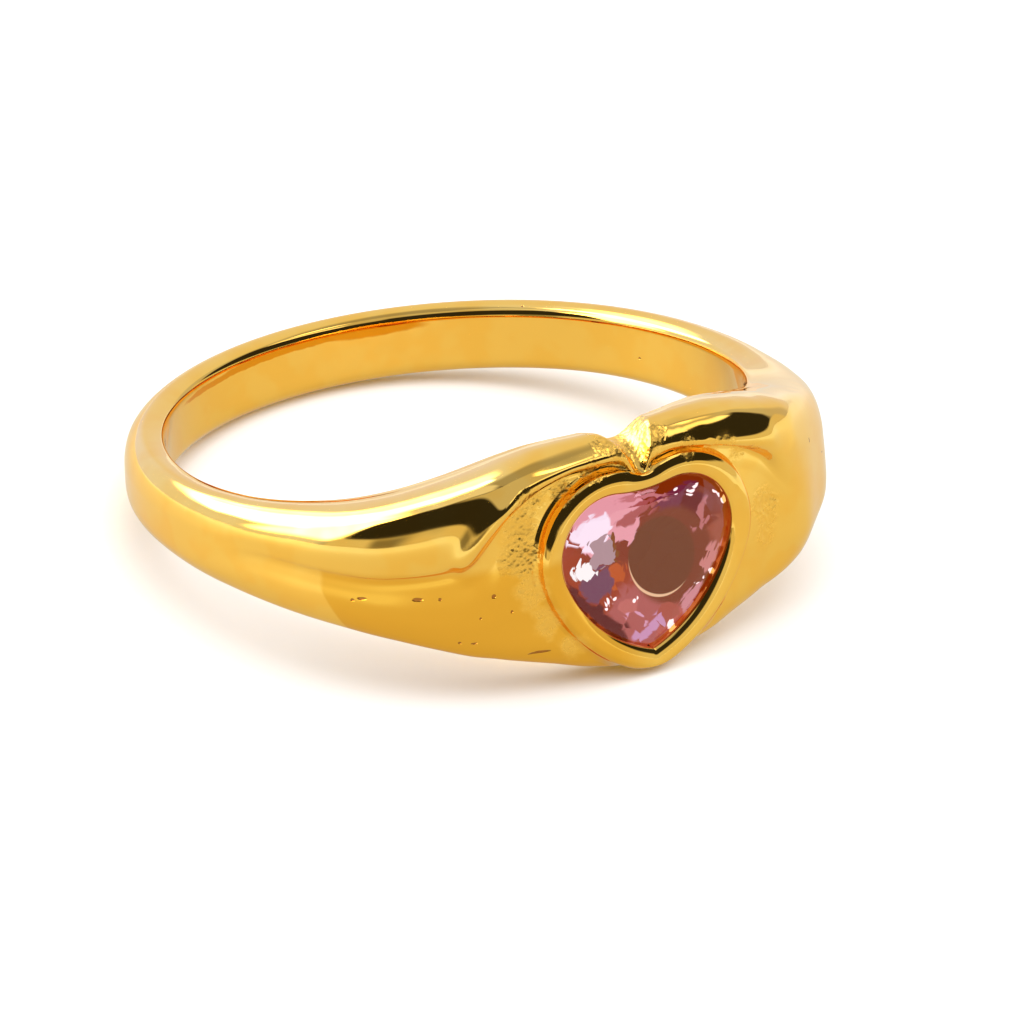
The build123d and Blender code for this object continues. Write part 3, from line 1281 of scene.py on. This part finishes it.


# Painted glints on the stone's back: across, height and half sizes.
STONE_PAINTED_GLINTS = (
    (1.91, 0.99, 0.1, 0.05),
    (1.18, 1.03, 0.06, 0.05),
    (2.63, 0.43, 0.05, 0.1),
    (2.82, 0.04, 0.05, 0.08),
    (-1.07, -1.63, 0.12, 0.06),
    (-1.35, -1.77, 0.05, 0.08),
    (-0.89, -2.11, 0.06, 0.06),
    (-0.17, -1.96, 0.06, 0.06),
    (1.59, -2.0, 0.14, 0.07),
    (2.0, -1.68, 0.09, 0.06),
    (2.33, -1.55, 0.08, 0.08),
    (0.84, -3.04, 0.12, 0.12),
    (0.11, -3.33, 0.08, 0.05),
)


@dataclass(frozen=True)
class PinkStone:
    """Clear pink stone: glass in front, and back facets that glow with painted light, painted
    reflections and glints seen through the glass.
    """

    colour: tuple[float, float, float] = (1.0, 0.86, 0.88)
    index: float = 1.55
    ground: tuple[float, float, float] = (0.33, 0.035, 0.0)
    depth_colour: tuple[float, float, float, float] = (0.1, 0.01, 0.01, 1.0)
    painted_patches: tuple[Patch, ...] = STONE_PAINTED_LIGHT
    painted_glints: tuple[tuple[float, float, float, float], ...] = STONE_PAINTED_GLINTS
    painted_glint_colour: tuple[float, float, float] = (1.3, 1.1, 1.1)
    spark_lean: float = 20.0
    spark_softness: float = 0.3
    facet_scale: float = 2.6
    facet_shift: float = 0.3
    wave_scale: float = 1.6
    wave_shift: float = 0.4
    glow: float = 1.0

    def front(self) -> bpy.types.Material:
        """Builds the clear glass of the table and crown.

        Returns:
            The material.
        """
        material, desk, shader = new_material("pink_stone_front")
        desk.fill(shader, Base_Color=(*self.colour, 1.0), Roughness=0.0)
        desk.fill(shader, Transmission_Weight=1.0, IOR=self.index)
        return material

    def back(self, effects: EffectGroups) -> bpy.types.Material:
        """Builds the back facets, which glow with painted light: painted reflections in patches
        with broken edges, and painted glints.

        Args:
            effects: Shared node groups.

        Returns:
            The material.
        """
        material, desk, shader = new_material("pink_stone_back")
        place = broken = effects.place(desk)
        for texture, scale, shift in (
            ("TexVoronoi", self.facet_scale, self.facet_shift),
            ("TexNoise", self.wave_scale, self.wave_shift),
        ):
            pattern = desk.add(texture, Vector=place, Scale=scale)
            broken = effects.shift(desk, broken, pattern, shift)
        colour: object = self.ground
        for patch in self.painted_patches:
            where = broken if patch.jagged else place
            colour = desk.mix(desk.use(effects.patch, where, *patch[:6]), colour, patch.colour)
        for spark in self.painted_glints:
            oval = (*spark, self.spark_lean, self.spark_softness)
            colour = desk.mix(desk.use(effects.patch, broken, *oval), colour, self.painted_glint_colour)
        # The painted light glows as emission.
        desk.fill(shader, Emission_Color=colour, Emission_Strength=self.glow)
        desk.fill(shader, Base_Color=self.depth_colour, Specular_IOR_Level=0.0)
        material.cycles.emission_sampling = "NONE"
        return material


class Nick(NamedTuple):
    """Small nick of the casting, or a streak of painted reflection in the bore: degrees round
    the band, height and half sizes.
    """

    angle: float
    height: float
    reach_across: float
    reach_up: float


NICKS = (
    Nick(-48.0, -0.58, 0.14, 0.045),
    Nick(-49.6, -0.66, 0.06, 0.04),
    Nick(-39.3, -0.6, 0.17, 0.06),
    Nick(-35.9, -0.62, 0.05, 0.05),
    Nick(-27.7, -0.68, 0.06, 0.07),
    Nick(-20.8, -2.72, 0.36, 0.04),
    Nick(-33.4, -2.04, 0.05, 0.04),
    Nick(-31.2, -2.1, 0.1, 0.03),
    Nick(-29.9, -1.3, 0.04, 0.04),
    Nick(-25.0, -1.25, 0.04, 0.05),
    Nick(36.0, 1.0, 0.03, 0.09),
    Nick(43.0, 0.1, 0.05, 0.03),
)


# Painted reflections: darker brown streaks on the bore's upper part, standing in for the gold's
# own reflection there.
BORE_PAINTED_REFLECTIONS = (
    Nick(163.0, 0.7, 2.0, 0.2),
    Nick(177.0, 0.72, 2.2, 0.13),
    Nick(-169.0, 0.7, 2.2, 0.12),
    Nick(-155.0, 0.66, 2.2, 0.1),
)


@dataclass(frozen=True)
class GoldPolish:
    """Mirror-polished warm gold plate with the marks of casting and polishing, a painted shade
    on the field left of the stone and painted reflections in the bore.
    """

    colour: tuple[float, float, float] = (1.0, 0.6, 0.11)
    stain_colour: tuple[float, float, float] = (1.0, 0.57, 0.09)
    stain_scale: float = 0.8
    stain_edge: tuple[float, float] = (0.42, 0.62)
    sand_colour: tuple[float, float, float] = (1.0, 0.57, 0.09)
    # Painted shade: a deeper tone on the field left of the stone, up to a sharp edge.
    field_shade_colour: tuple[float, float, float] = (0.9, 0.46, 0.045)
    field_edge: tuple[float, float, float, float] = (-0.509, 0.703, -0.496, 0.402)
    field_softness: float = 0.05
    field_ends: tuple[tuple[str, float, float], ...] = (
        ("Z", 0.3, -0.1),
        ("Y", -6.0, -6.2),
        ("X", 0.0, -1.5),
    )
    outer_edge: tuple[float, float] = (9.2, 9.5)
    bore_reflection_colour: tuple[float, float, float] = (0.84, 0.32, 0.012)
    bore_reflections: tuple[Nick, ...] = BORE_PAINTED_REFLECTIONS
    pit_colour: tuple[float, float, float] = (0.45, 0.17, 0.03)
    pit_depth: float = 0.04
    pits: tuple[float, float, float] = (1.1, 0.1, 0.05)
    nicks: tuple[Nick, ...] = NICKS
    ragged_shift: float = 0.1
    ragged_scale: float = 2.2
    ragged_range: float = 1.6
    skin_edge: tuple[float, float] = (0.15, 1.0)
    skin_foot: tuple[float, float] = (0.0, 0.2)
    roughness: float = 0.05
    haze_scale: float = 2.5
    haze_edge: tuple[float, float] = (0.5, 0.75)
    haze_roughness: float = 0.04
    sand_roughness: float = 0.24
    sand_grain: float = 7.0
    sand_depth: float = 0.02
    wave_scale: float = 0.5
    wave_depth: float = 0.015

    def material(self, effects: EffectGroups) -> bpy.types.Material:
        """Builds the material.

        Args:
            effects: Shared node groups.

        Returns:
            The material.
        """
        material, desk, shader = new_material("gold_polish")
        place = effects.place(desk)
        ragged = desk.add("TexNoise", Vector=place, Scale=self.ragged_scale, Detail=2.0)
        ragged_place = effects.shift(desk, place, ragged, self.ragged_shift)
        skin = self.skin_mask(desk, ragged.outputs[0])
        outer = self.outer_mask(desk, place)
        inner = desk.math("SUBTRACT", 1.0, outer)
        cloud = desk.add("TexNoise", Vector=place, Scale=self.stain_scale, Detail=2.0)
        stain = desk.ramp(cloud.outputs[0], *self.stain_edge)
        colour = desk.mix(stain, self.colour, self.stain_colour)
        # Painted shade on the field left of the stone.
        field = desk.math("MULTIPLY", outer, self.field_shade_mask(desk, place))
        colour = desk.mix(field, colour, self.field_shade_colour)
        # Painted reflections: darker brown streaks on the bore's upper part.
        for spot in self.bore_reflections:
            mask = desk.math("MULTIPLY", desk.use(effects.nick, ragged_place, *spot), inner)
            colour = desk.mix(mask, colour, self.bore_reflection_colour)
        colour = desk.mix(skin, colour, self.sand_colour)
        pits = desk.use(effects.pits, place, *self.pits)
        for nick in self.nicks:
            mask = desk.math("MULTIPLY", desk.use(effects.nick, ragged_place, *nick), outer)
            pits = desk.math("MAXIMUM", pits, mask)
        haze = desk.add("TexNoise", Vector=place, Scale=self.haze_scale, Detail=4.0)
        haze = desk.ramp(haze.outputs[0], *self.haze_edge)
        rough = desk.math("MULTIPLY_ADD", haze, self.haze_roughness, self.roughness)
        rough = desk.math("MULTIPLY_ADD", skin, self.sand_roughness, rough)
        sand = desk.use(effects.sand, place, skin, self.sand_grain, self.sand_depth)
        waves = desk.use(effects.waves, place, self.wave_scale, self.wave_depth)
        height = desk.math("ADD", sand, waves)
        height = desk.math("MULTIPLY_ADD", pits, -self.pit_depth, height)
        bump = desk.add("Bump", Height=height, Distance=MM, Strength=1.0)
        colour = desk.mix(pits, colour, self.pit_colour)
        desk.fill(shader, Base_Color=colour, Roughness=rough, Normal=bump.outputs["Normal"])
        desk.fill(shader, Metallic=1.0)
        return material

    def skin_mask(
        self, desk: NodeDesk, ragged: bpy.types.NodeSocket
    ) -> bpy.types.NodeSocket:
        """Mask of the mould's sandy skin, with a ragged edge.

        Args:
            desk: Desk of the material.
            ragged: Noise that breaks up the edge.

        Returns:
            The mask.
        """
        mark = desk.add("Attribute")
        mark.attribute_name = SKIN_LAYER
        strength = mark.outputs["Fac"]
        ragged = desk.math("MULTIPLY_ADD", ragged, self.ragged_range, -self.ragged_range / 2)
        skin = desk.ramp(desk.math("ADD", strength, ragged), *self.skin_edge)
        return desk.math("MULTIPLY", skin, desk.ramp(strength, *self.skin_foot))

    def outer_mask(self, desk: NodeDesk, place: bpy.types.NodeSocket) -> bpy.types.NodeSocket:
        """Mask of the ring's outside, well clear of the finger's bore."""
        flat = desk.vector("MULTIPLY", place, (1.0, 1.0, 0.0))
        return desk.ramp(desk.vector("LENGTH", flat), *self.outer_edge)

    def field_shade_mask(self, desk: NodeDesk, place: bpy.types.NodeSocket) -> bpy.types.NodeSocket:
        """Mask of the painted shade on the flat field left of the stone: a deeper tone up to a
        sharp edge, standing in for the darker reflection past a facet edge that the mesh lacks.

        Args:
            desk: Desk of the material.
            place: Place in the ring's own millimetres.

        Returns:
            The mask.
        """
        *normal, offset = self.field_edge
        across = desk.vector("DOT_PRODUCT", place, normal)
        split = desk.add("SeparateXYZ", Vector=place)
        mask = desk.ramp(across, offset + self.field_softness, offset - self.field_softness)
        for axis, start, end in self.field_ends:
            mask = desk.math("MULTIPLY", mask, desk.ramp(split.outputs[axis], start, end))
        return mask


class SandSpot(NamedTuple):
    """Place where the mould's sandy skin was left unpolished."""

    angle: float
    height: float
    reach: float
    strength: float


SAND_SPOTS = (
    SandSpot(-21.4, 2.05, 0.75, 0.9),
    SandSpot(-23.0, 1.2, 0.8, 1.0),
    SandSpot(-22.8, 0.25, 0.8, 1.0),
    SandSpot(-21.4, -0.75, 0.75, 1.0),
    SandSpot(-19.3, -1.8, 0.7, 1.0),
    SandSpot(-15.0, -2.7, 0.6, 0.9),
    SandSpot(-15.1, 2.1, 0.5, 1.0),
    SandSpot(-9.3, 2.5, 0.5, 1.0),
    SandSpot(-3.5, 2.5, 0.5, 1.0),
    SandSpot(1.5, 2.5, 0.5, 1.0),
    SandSpot(8.8, 2.45, 0.5, 1.0),
    SandSpot(15.1, 2.25, 0.5, 1.0),
    SandSpot(20.0, 1.7, 0.5, 0.8),
    SandSpot(-4.0, 3.2, 0.9, 1.0),
    SandSpot(-1.0, 3.1, 0.9, 1.0),
    SandSpot(2.0, 3.0, 0.8, 1.0),
    SandSpot(24.3, -0.2, 0.7, 1.0),
    SandSpot(24.2, -0.7, 0.5, 1.0),
    SandSpot(24.0, -1.2, 0.55, 1.0),
)


@dataclass(frozen=True)
class CastSkin:
    """Marks on the mesh where the mould's sandy skin was left."""

    spots: tuple[SandSpot, ...] = SAND_SPOTS
    back_end: float = -5.0
    inner_radius: float = 9.2
    valley_radius: float = 8.7
    valley_reach: float = 8.0
    steepness: float = 1.8

    def strength_at(self, point: Vector) -> float:
        """How much of the skin is left at a point.

        Args:
            point: Point in the ring's own millimetres.

        Returns:
            The strength, from 0 to 1.
        """
        radius = math.hypot(point.x, point.y)
        if point.y > self.back_end or radius < self.valley_radius:
            return 0.0
        angle = math.degrees(math.atan2(point.x, -point.y))
        if radius < self.inner_radius and abs(angle) > self.valley_reach:
            return 0.0
        most = 0.0
        for spot in self.spots:
            across = math.radians(angle - spot.angle) * radius
            far = math.hypot(across, point.z - spot.height) / spot.reach
            share = min(max(self.steepness * (1.0 - far), 0.0), 1.0)
            most = max(most, spot.strength * share)
        return most

    def mark(self, bm: bmesh.types.BMesh) -> None:
        """Writes the strengths into a mesh as an attribute.

        Args:
            bm: Mesh in the ring's own millimetres.
        """
        layer = bm.verts.layers.float.new(SKIN_LAYER)
        for vert in bm.verts:
            vert[layer] = self.strength_at(vert.co)


# Extra green and blue of the coolest light.
COOL_SHIFT = (0.25, 1.6)


class LightWindow(NamedTuple):
    """Soft-edged part of the sky, in degrees round the ring and above the table."""

    name: str
    azimuth: float
    half_width: float
    elevation: float
    half_height: float
    softness: float
    strength: float
    coolness: float

    @property
    def colour(self) -> tuple[float, float, float, float]:
        """Colour of the light, the bluer the cooler."""
        green, blue = (1 + share * self.coolness for share in COOL_SHIFT)
        return (self.strength, self.strength * green, self.strength * blue, 1.0)


WINDOWS = (
    LightWindow("right_wall", 140, 50, 22, 38, 10, 0.85, 0.15),
    LightWindow("left_wall", -150, 50, 20, 62, 8, 0.85, 0.6),
    LightWindow("right_edge", 94, 10, 22, 32, 6, 0.6, 0.3),
    LightWindow("right_ceiling", 140, 50, 75, 16, 8, 0.4, 0.3),
    LightWindow("front_ceiling", 0, 95, 90, 42, 6, 0.6, 0.2),
    LightWindow("softbox", -152, 36, 38, 15, 3, 11.0, 0.0),
    LightWindow("softbox_side", -113, 14, 30, 20, 5, 8.0, 0.0),
    LightWindow("back_lamp", 174, 8, 34, 8, 4, 5.0, 0.0),
    LightWindow("dark_room", -52, 48, 34, 23, 4, 0.03, 0.0),
    LightWindow("dark_corner", 39, 46, 29, 19, 3, 0.03, 0.0),
    LightWindow("front_line", 45, 26, 51, 3.5, 1.5, 1.6, 0.1),
    LightWindow("front_lamp", 76, 8, 66, 6, 3, 4.0, 0.0),
    LightWindow("table_edge", -5, 95, 0, 12, 2, 0.75, 0.0),
    LightWindow("dark_gap", -67, 9, 5, 7, 5, 0.25, 0.0),
)


class TentLamp(NamedTuple):
    """Round soft lamp turned to the ring: power in watts, width and place in metres."""

    name: str
    power: float
    size: float
    place: tuple[float, float, float]


TENT_LAMPS = (
    TentLamp("tent_top", 10.5, 1.4, (-0.03, 0.0, 0.5)),
    TentLamp("tent_front", 1.8, 0.8, (0.2, -0.4, 0.35)),
)


@dataclass
class Studio:
    """Pale table, soft lights and the camera."""

    windows: tuple[LightWindow, ...] = WINDOWS
    lamps: tuple[TentLamp, ...] = TENT_LAMPS
    base_light: float = 0.12
    table_size: float = 1.5
    table_colour: tuple[float, float, float] = (0.9, 0.89, 0.88)
    table_roughness: float = 0.6
    table_gloss: float = 0.1
    mirrored_front: tuple[float, float, float] = (0.24, 0.23, 0.2)
    mirrored_side: tuple[float, float, float] = (0.3, 0.33, 0.4)
    mirrored_edge: tuple[float, float] = (0.008, 0.05)
    mirrored_glow: float = 1.7
    azimuth: float = -34.15
    elevation: float = 28.68
    roll: float = -1.69
    distance: float = 398.6
    pixels_per_mm: float = 33.6
    centre_x: float = 456.6
    centre_y: float = 444.6

    def camera(self, ring: RingFrame) -> None:
        """Sets the camera so that the bore's middle falls on its place in the frame.

        Args:
            ring: Frame of the ring.
        """
        a, e, r = (math.radians(v) for v in (self.azimuth, self.elevation, self.roll))
        back = Vector((math.sin(a) * math.cos(e), -math.cos(a) * math.cos(e), math.sin(e)))
        right = Vector((math.cos(a), math.sin(a), 0.0))
        up = back.cross(right)
        right, up = (
            right * math.cos(r) - up * math.sin(r),
            right * math.sin(r) + up * math.cos(r),
        )
        lens = self.pixels_per_mm * self.distance
        data = bpy.data.cameras.new("camera")
        data.sensor_width = SENSOR_WIDTH
        data.lens = lens / FRAME_PIXELS * SENSOR_WIDTH
        data.clip_start, data.clip_end = 0.01, 5.0
        camera = stand("camera", data)
        place = ring.matrix.translation + back * self.distance * MM
        back -= right * (FRAME_PIXELS / 2 - self.centre_x) / lens
        back += up * (FRAME_PIXELS / 2 - self.centre_y) / lens
        back.normalize()
        up = back.cross(right).normalized()
        right = up.cross(back)
        turn = Matrix((right, up, back)).transposed().to_4x4()
        camera.matrix_world = Matrix.Translation(place) @ turn
        bpy.context.scene.camera = camera

    def floor(self) -> None:
        """Pale table top, which the metal mirrors darker than the camera sees it."""
        bm = bmesh.new()
        bmesh.ops.create_grid(bm, x_segments=1, y_segments=1, size=self.table_size)
        table = stand("table", mesh_of(bm, "table"))
        material, desk, shader = new_material("table")
        split = desk.add("SeparateXYZ", Vector=desk.add("TexCoord").outputs["Object"])
        side = desk.ramp(desk.math("ABSOLUTE", split.outputs["X"]), *self.mirrored_edge)
        mirrored = desk.mix(side, self.mirrored_front, self.mirrored_side)
        seen = desk.add("LightPath").outputs["Is Glossy Ray"]
        colour = desk.mix(seen, self.table_colour, mirrored)
        glow = desk.mix(seen, (0.0, 0.0, 0.0), mirrored)
        desk.fill(shader, Base_Color=colour, Roughness=self.table_roughness)
        desk.fill(shader, Emission_Color=glow, Emission_Strength=self.mirrored_glow)
        desk.fill(shader, Specular_IOR_Level=self.table_gloss)
        material.cycles.emission_sampling = "NONE"
        table.data.materials.append(material)

    def tent(self) -> None:
        """Big soft light over the table, which the mirror-bright metal doesn't show."""
        for lamp in self.lamps:
            data = bpy.data.lights.new(lamp.name, "AREA")
            data.shape = "DISK"
            data.size = lamp.size
            data.energy = lamp.power
            light = stand(lamp.name, data)
            place = Vector(lamp.place)
            turn = place.to_track_quat("Z", "Y").to_matrix().to_4x4()
            light.matrix_world = Matrix.Translation(place) @ turn
            light.visible_glossy = False

    @staticmethod
    def window_group() -> bpy.types.NodeTree:
        """Builds a soft-edged window of the sky, by azimuth and elevation.

        Returns:
            Group that gives its mask.
        """
        names = ("Azimuth", "Half Width", "Elevation", "Half Height", "Softness")
        desk, values, outward = NodeDesk.group("soft_window", names, "Mask")
        turned = desk.add("VectorRotate", Vector=values["Vector"])
        turned.rotation_type = "Z_AXIS"
        turn = desk.math("MULTIPLY", desk.math("RADIANS", values["Azimuth"]), -1.0)
        desk.fill(turned, Angle=turn)
        split = desk.add("SeparateXYZ", Vector=turned.outputs[0])
        front = desk.math("MULTIPLY", split.outputs["Y"], -1.0)
        across = desk.math("DEGREES", desk.math("ARCTAN2", split.outputs["X"], front))
        above = desk.math("DEGREES", desk.math("ARCSINE", split.outputs["Z"]))
        above = desk.math("SUBTRACT", above, values["Elevation"])
        masks = []
        for value, half in ((across, values["Half Width"]), (above, values["Half Height"])):
            outer = desk.math("ADD", half, values["Softness"])
            inner = desk.math("SUBTRACT", half, values["Softness"])
            masks.append(desk.ramp(desk.math("ABSOLUTE", value), outer, inner))
        desk.plug(outward, desk.math("MULTIPLY", *masks))
        return desk.tree

    def lights(self) -> None:
        """Soft light tent: bright windows behind the ring, darkness behind the camera."""
        world = bpy.data.worlds.new("studio")
        world.use_nodes = True
        desk = NodeDesk(world.node_tree)
        group = self.window_group()
        sky = desk.add("TexCoord").outputs["Generated"]
        light: object = (self.base_light,) * 3
        for window in self.windows:
            mask = desk.use(group, sky, *window[1:6])
            mask.node.label = window.name
            light = desk.mix(mask, light, window.colour)
        desk.fill(desk.tree.nodes["Background"], Color=light)
        world.cycles_visibility.diffuse = False
        world.cycles.sampling_method = "NONE"
        scene = bpy.context.scene
        scene.world = world
        scene.view_settings.view_transform = "Standard"
        scene.cycles.use_denoising = True
        scene.cycles.max_bounces = 10
        scene.cycles.diffuse_bounces = 3
        scene.cycles.caustics_refractive = False
        self.tent()


def main() -> None:
    """Builds the ring and its studio."""
    logging.basicConfig(level=logging.INFO, format="%(message)s")
    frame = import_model()
    ring = RingFrame.from_record(frame["record"], MOUNT_HEIGHT)
    maker = PieceMaker(ring)
    studio = Studio()
    studio.camera(ring)
    studio.floor()
    studio.lights()
    effects = EffectGroups(ring)
    gold = GoldPolish().material(effects)
    skin = CastSkin()
    heart = HeartOutline()
    band_mesh = CastBand().build()
    rim_mesh = HeartBezel().build(heart, band_mesh)
    band_mesh = Carver.carve(band_mesh, StonePocket().build(heart), 1)
    for bm, name in ((band_mesh, "band"), (rim_mesh, "bezel")):
        skin.mark(bm)
        piece = maker.finish(bm, name, "gold_plate", "ring_band")
        piece.data.materials.append(gold)
        LOG.info("%s: %d faces", name, len(piece.data.polygons))
    coarse = HeartOutline(dip_spans=1, lobe_spans=6, flank_spans=4, tip_spans=1)
    stone = maker.finish(HeartStone().build(coarse), "stone", "pink_stone", "heart_stone")
    stone.data.shade_flat()
    finish = PinkStone()
    stone.data.materials.append(finish.front())
    stone.data.materials.append(finish.back(effects))
    LOG.info("stone: %d facets", len(stone.data.polygons))


if __name__ == "__main__":
    main()
